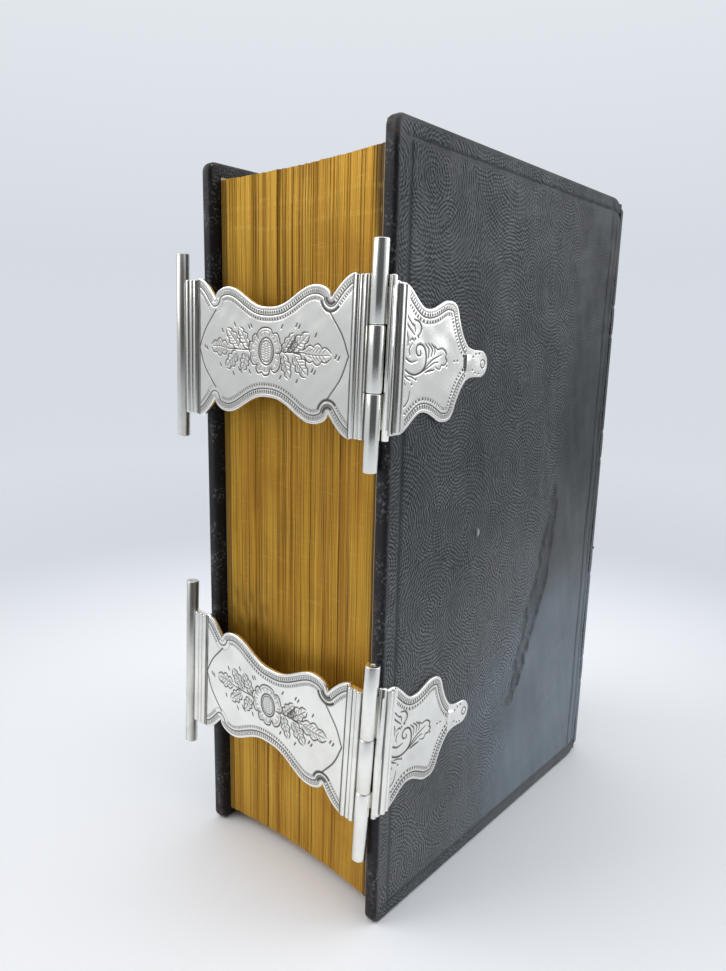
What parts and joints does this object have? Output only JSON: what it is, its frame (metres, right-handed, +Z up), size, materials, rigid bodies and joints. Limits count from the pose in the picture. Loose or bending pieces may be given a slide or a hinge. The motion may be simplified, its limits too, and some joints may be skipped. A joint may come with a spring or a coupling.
{
  "type": "prayer book",
  "caption": "Small thick prayer book bound in black grained leather, with gilt leaf edges, raised bands and engraved silver clasps hinged on the rear cover.",
  "frame": {"origin": "centre of the bottom of the object's whole box, in the plane that the tail edges of the covers stand on", "axes": "+Z up to the head of the book, -Y towards the fore-edge and its clasps, +Y towards the spine, -X front cover, +X rear cover that carries the clasp hinges"},
  "size_m": [0.0717, 0.1232, 0.18],
  "materials": {
    "gilt_edges": "gilt leaf edges, worn satin, with fine leaf lines",
    "leather": "black grained goatskin, blind tooled, soft sheen",
    "endpaper": "uncoated laid paper, slightly yellowed",
    "board": "dense rope-fibre board",
    "cord": "hemp cord and silk",
    "silver": "polished silver with bright-cut engraving"
  },
  "bodies": {
    "book_block": {"gatherings": "gilt_edges", "spine_lining": "endpaper", "sewing_cords": "cord", "spine_leather": "leather", "head_band": "cord", "tail_band": "cord", "leaf_stubs": "endpaper"},
    "front_cover": {"front_board": "board", "front_cover_leather": "leather", "front_pastedown": "endpaper", "upper_catch_plate": "silver", "lower_catch_plate": "silver", "upper_catch_rivets": "silver", "lower_catch_rivets": "silver"},
    "rear_cover": {"rear_board": "board", "rear_cover_leather": "leather", "rear_pastedown": "endpaper", "upper_anchor_plate": "silver", "upper_anchor_beads": "silver", "upper_anchor_knuckles": "silver", "upper_anchor_rivets": "silver", "upper_hinge_pin": "silver", "lower_anchor_plate": "silver", "lower_anchor_beads": "silver", "lower_anchor_knuckles": "silver", "lower_anchor_rivets": "silver", "lower_hinge_pin": "silver"},
    "upper_clasp": {"upper_strap": "silver", "upper_strap_knuckle": "silver", "upper_hinge_beads": "silver", "upper_catch_beads": "silver", "upper_closing_rod": "silver", "upper_hook": "silver"},
    "lower_clasp": {"lower_strap": "silver", "lower_strap_knuckle": "silver", "lower_hinge_beads": "silver", "lower_catch_beads": "silver", "lower_closing_rod": "silver", "lower_hook": "silver"},
    "front_flyleaf_sheet": {"front_flyleaf": "endpaper"},
    "front_blank_leaf_sheet": {"front_blank_leaf": "endpaper"},
    "front_title_leaf_sheet": {"front_title_leaf": "endpaper"},
    "rear_flyleaf_sheet": {"rear_flyleaf": "endpaper"},
    "rear_blank_leaf_sheet": {"rear_blank_leaf": "endpaper"},
    "rear_last_leaf_sheet": {"rear_last_leaf": "endpaper"}
  },
  "joints": [
    {"name": "front_cover_hinge", "type": "hinge", "parent": "book_block", "child": "front_cover", "pos_m": [-0.02648, 0.05078, 0.09], "axis": [0, 0, -1], "range_deg": [0, 110]},
    {"name": "rear_cover_hinge", "type": "hinge", "parent": "book_block", "child": "rear_cover", "pos_m": [0.03452, 0.05078, 0.09], "axis": [0, 0, 1], "range_deg": [0, 110]},
    {"name": "upper_clasp_hinge", "type": "hinge", "parent": "rear_cover", "child": "upper_clasp", "pos_m": [0.03222, -0.05978, 0.1334], "axis": [0.0332, 0, 0.9995], "range_deg": [0, 175]},
    {"name": "lower_clasp_hinge", "type": "hinge", "parent": "rear_cover", "child": "lower_clasp", "pos_m": [0.03222, -0.05978, 0.0429], "axis": [0.0558, 0, 0.9984], "range_deg": [0, 175]},
    {"name": "front_flyleaf_turn", "type": "hinge", "parent": "book_block", "child": "front_flyleaf_sheet", "pos_m": [-0.02231, 0.04478, 0.09], "axis": [0, 0, -1], "range_deg": [0, 80.2]},
    {"name": "front_blank_leaf_turn", "type": "hinge", "parent": "book_block", "child": "front_blank_leaf_sheet", "pos_m": [-0.02181, 0.04478, 0.09], "axis": [0, 0, -1], "range_deg": [0, 40.6]},
    {"name": "front_title_leaf_turn", "type": "hinge", "parent": "book_block", "child": "front_title_leaf_sheet", "pos_m": [-0.02131, 0.04478, 0.09], "axis": [0, 0, -1], "range_deg": [0, 27.4]},
    {"name": "rear_flyleaf_turn", "type": "hinge", "parent": "book_block", "child": "rear_flyleaf_sheet", "pos_m": [0.03034, 0.04478, 0.09], "axis": [0, 0, 1], "range_deg": [0, 80.2]},
    {"name": "rear_blank_leaf_turn", "type": "hinge", "parent": "book_block", "child": "rear_blank_leaf_sheet", "pos_m": [0.02984, 0.04478, 0.09], "axis": [0, 0, 1], "range_deg": [0, 40.6]},
    {"name": "rear_last_leaf_turn", "type": "hinge", "parent": "book_block", "child": "rear_last_leaf_sheet", "pos_m": [0.02934, 0.04478, 0.09], "axis": [0, 0, 1], "range_deg": [0, 27.4]}
  ],
  "couplings": [
    {"joint": "front_flyleaf_turn", "follows": "front_cover_hinge", "ratio": 0.72},
    {"joint": "front_blank_leaf_turn", "follows": "front_cover_hinge", "ratio": 0.36},
    {"joint": "front_title_leaf_turn", "follows": "front_cover_hinge", "ratio": 0.24},
    {"joint": "rear_flyleaf_turn", "follows": "rear_cover_hinge", "ratio": 0.72},
    {"joint": "rear_blank_leaf_turn", "follows": "rear_cover_hinge", "ratio": 0.36},
    {"joint": "rear_last_leaf_turn", "follows": "rear_cover_hinge", "ratio": 0.24}
  ]
}
